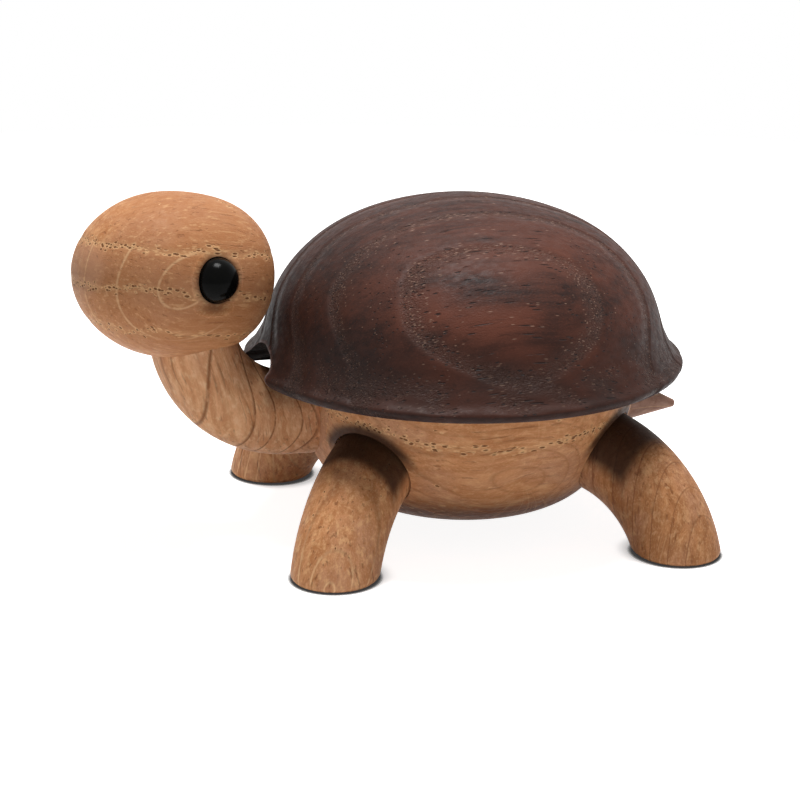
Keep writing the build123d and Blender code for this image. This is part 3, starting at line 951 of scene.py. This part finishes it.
lean = atan2(-swivelAxis[1], swivelAxis[2])
ahead = np.array([0, -cos(lean), -sin(lean)])
turnedAhead = between(ahead, np.array([1.0, 0, 0]), radians(head["turn"]))
nose = between(turnedAhead, swivelAxis, radians(head["raise"]))
headLeft = unit(np.cross(swivelAxis, nose))
headUp = np.cross(nose, headLeft)
headCentre = neckTop + swivelAxis * head["seat"] + turnedAhead * head["ahead"]
head["figure"] = {
    "pith": headCentre + headLeft * 10.1 + headUp * 5.1,
    "pithWay": between(between(nose, headLeft, head["pithYaw"]), headUp, head["pithPitch"]),
    "fibre": nose * 0.99 + headUp * 0.05, "across": headLeft,
    "ringRadii": [4.7, 12.8, 20.3, 22.0, 23.6, 25.0, 26.4, 27.8, 29.2, 30.6, 32.0], "wave": 0.12,
    "waveSize": 22, "seed": 61, "squarePores": 0.0,
}


def headProfile():
    # radius share at an along share s: (1 - |s|^p)^(1/p), with a higher power p at the back
    a = np.radians(180 * np.arange(1, head["outlineSteps"]) / head["outlineSteps"])
    share = np.cos(a)
    power = np.where(share > 0, head["nosePower"], head["backPower"])
    wide = (1 - np.abs(share) ** power) ** (1 / power)
    middle = np.column_stack([wide * head["radius"], share * head["halfLength"]])
    points = [(0, head["halfLength"]), *middle, (0, -head["halfLength"])]
    return throughPoints(points, (1, 0), (-1, 0), 150)[::-1]


def eyeSeat(side):
    return headCentre + headLeft * side * head["radius"] + headUp * eye["rise"]


def headPores(points, normals):
    # the sum over the rows of exp(-((height + slow wave - row height) / width)^2), less on the crown
    high = (points - headCentre) @ headUp + 0.4 * wander(points, 16, 62)
    near = sum(np.exp(-((high - row) / head["rowWidth"]) ** 2) for row in head["rowHeights"])
    return near * (1 - smoothStep(np.abs(normals @ headUp), 0.6, 0.9))


def headTrace(points):
    # ring edges show on the nose side, between the outer rows of pores
    offset = points - headCentre
    level = np.abs(offset @ headUp - np.mean(head["rowHeights"]))
    fore = smoothStep(offset @ nose, *head["traceNose"]) * smoothStep(offset @ headLeft, *head["traceLeft"])
    return (1 - smoothStep(level, *head["traceLevel"])) * fore


def headTone(points, normals):
    # darker heartwood near the pith, painted shade round each eye's recess and a painted shadow under each
    # eye
    offset = points - head["figure"]["pith"]
    way = unit(head["figure"]["pithWay"])
    distance = np.linalg.norm(offset - np.outer(offset @ way, way), axis=1)
    onLeft = (points - headCentre) @ headLeft > 0
    seat = np.where(onLeft[:, None], points - eyeSeat(1), points - eyeSeat(-1))
    gap = np.linalg.norm(seat - np.outer(seat @ headLeft, headLeft), axis=1) - eye["recess"]
    high, long = (seat @ headUp + eye["underDrop"]) / eye["underHigh"], seat @ nose / eye["underLong"]
    around = eye["shade"] * np.exp(-np.maximum(gap, 0) / eye["shadeWidth"])
    paintedShade = np.maximum(around, eye["under"] * np.exp(-high**2 - long**2))
    return np.where(paintedShade > 0.1, -paintedShade, 0.8 * (1 - smoothStep(distance, *head["heart"])))


headFinish = varied(
    oakFinish, pits=1.0, pitReach=0.42, ray=0.03, endRay=0.05, fleck=0.35, grit=0.25, late=0.4, thread=0.3,
    paleThread=0.35, heart=0.8,
)


def buildHead():
    rings = turned(headProfile(), headCentre, nose, headLeft, head["columns"])
    piece = meshFromRings("head_surface", rings)
    cutters = [roundBore("neckPocket", neckTop, swivelAxis, head["pocket"], 20.0, head["room"])]
    for side in (1, -1):
        floor = eyeSeat(side) - headLeft * side * (eye["sink"] + eye["skirt"])
        cutters.append(roundBore("eyeRecess", floor, headLeft * side, eye["recess"], 0.0, 12.0))
    carve(piece, cutters)
    dressWood(piece, head["figure"], None, headTone, headPores, headTrace)
    finishPiece(piece, makeOak("headOak", headFinish), "head", "head_wood", "head")


def buildEye(name, side):
    # dome of radius R about a point sunk below the seat, then a skirt and a shank
    foot, thin, edge = -eye["sink"] - eye["skirt"], eye["shankRadius"], eye["shankEnd"]
    end = foot - eye["shankLength"]
    corners = [(0, end), (thin - edge, end), (thin, end + edge), (thin, foot), (eye["radius"], foot),
               (eye["radius"], -eye["sink"])]
    profile = joined(
        straightPoints(corners, 3, 3, 6, 5, 3), arcPoints((0, -eye["sink"]), eye["radius"], 0, 90, 40)
    )
    profile[-1, 0] = 0
    piece = meshFromRings(name + "_bead", turned(profile, eyeSeat(side), headLeft * side, nose, 96))
    finishPiece(piece, eyeGloss, "head", "eye_bead", name, sharp=50)


buildHead()
eyeGloss = makeEyeGloss("eyeGloss", eyeFinish)
buildEye("eye_left", 1)
buildEye("eye_right", -1)
print("head and eyes made")

# Hidden dowels keep their own solids
dowelBeech = makeDowelBeech("dowelBeech", dowelFinish)
for name, node in frame["nodes"].items():
    if "dowel" in name or name == "head_pin":
        node.data.materials.clear()
        node.data.materials.append(dowelBeech)

# Stage
studio = {
    "floorTone": 0.85, "floorRadius": 0.5, "floorGlow": 0.9, "skyLevel": 0.12,
    # each contact shade's reach in metres, its darkest and palest share, and its darkest tone
    "contacts": [(0.0038, 0.3, 1.0, 0.45), (0.0014, 0.5, 0.95, 0.1)],
}
lamps = {  # place, power in watts, width and height, in metres
    "topLamp": ((-0.03, 0.02, 0.72), 5.4, 0.24, 0.24),
    "fillLamp": ((0.85, -0.15, 0.08), 0.8, 0.60, 0.12),
}


def seenDirectly(tree):
    # 1 where a ray comes from the camera, a mirror or glass
    path = nodeIn(tree, "ShaderNodeLightPath").outputs
    return mathNode(tree, "MAXIMUM", path["Is Camera Ray"],
                    mathNode(tree, "MAXIMUM", path["Is Glossy Ray"], path["Is Transmission Ray"]))


def buildStage():
    mesh = bpy.data.meshes.new("floor")
    edge = arcPoints((0, 0), studio["floorRadius"], 0, 357.5, 144)
    mesh.from_pydata(np.column_stack([edge, np.zeros(len(edge))]).tolist(), [], [list(range(len(edge)))])
    floor = linked("floor", mesh)
    material = bpy.data.materials.new("paleFloor")
    tree = emptyTree(material)
    matt = nodeIn(tree, "ShaderNodeBsdfDiffuse")
    level = 1.0
    for reach, low, high, tone in studio["contacts"]:
        contact = nodeIn(tree, "ShaderNodeAmbientOcclusion", samples=8)
        contact.inputs["Distance"].default_value = reach
        level = product(tree, rangeNode(tree, contact.outputs["AO"], low, high, tone, 1.0), level)
    seen = seenDirectly(tree)
    tone = mixColour(tree, seen, (1, 1, 1, 1), level)
    tone = mixColour(tree, 1.0, (studio["floorTone"],) * 3 + (1,), tone, "MULTIPLY")
    plug(tree, tone, matt.inputs["Color"])
    glow = nodeIn(tree, "ShaderNodeEmission")
    plug(tree, product(tree, seen, level, studio["floorGlow"]), glow.inputs["Strength"])
    both = nodeIn(tree, "ShaderNodeAddShader")
    plug(tree, matt.outputs[0], both.inputs[0])
    plug(tree, glow.outputs[0], both.inputs[1])
    plug(tree, both.outputs[0], nodeIn(tree, "ShaderNodeOutputMaterial").inputs[0])
    mesh.materials.append(material)
    world = bpy.data.worlds.new("softRoom")
    bpy.context.scene.world = world
    tree = emptyTree(world)
    sky = nodeIn(tree, "ShaderNodeBackground")
    sky.inputs["Color"].default_value = (1, 1, 1, 1)
    level = rangeNode(tree, seenDirectly(tree), 0.0, 1.0, studio["skyLevel"], 1.0)
    plug(tree, level, sky.inputs["Strength"])
    plug(tree, sky.outputs[0], nodeIn(tree, "ShaderNodeOutputWorld").inputs[0])


def softLamp(name, place, aim, power, width, height):
    data = bpy.data.lights.new(name, "AREA")
    data.energy = power
    data.shape = "RECTANGLE"
    data.size, data.size_y = width, height
    lamp = linked(name, data)
    lamp.location = place
    lamp.visible_glossy = name == "topLamp"
    lamp.rotation_mode = "QUATERNION"
    lamp.rotation_quaternion = (Vector(aim) - Vector(place)).to_track_quat("-Z", "Y")


buildStage()
for name, (place, power, width, height) in lamps.items():
    softLamp(name, place, (0, 0, 0.04), power, width, height)

# Camera: looks back along the direction given by azimuth and elevation, rolled a little
camera = {"azimuth": 75.6, "elevation": 16.89, "roll": 0.6, "distance": 474.3, "lens": 98.5,
          "aim": (0.0, 3.68, 26.19)}


def buildCamera():
    turn, rise, roll = (radians(camera[k]) for k in ("azimuth", "elevation", "roll"))
    back = np.array([sin(turn) * cos(rise), -cos(turn) * cos(rise), sin(rise)])
    right = unit(np.cross(-back, (0, 0, 1)))
    up = np.cross(back, right)
    right, up = between(right, up, roll), between(up, -right, roll)
    data = bpy.data.cameras.new("photoCamera")
    data.lens = camera["lens"]
    data.sensor_width = 36
    data.clip_start = 0.01
    seer = linked("photoCamera", data)
    place = (np.array(camera["aim"]) + back * camera["distance"]) * toMetres
    axes = Matrix((right, up, back)).transposed()
    seer.matrix_world = Matrix.Translation(place) @ axes.to_4x4()
    bpy.context.scene.camera = seer


buildCamera()
bpy.context.scene.view_settings.view_transform = "Standard"
print("stage and camera made")
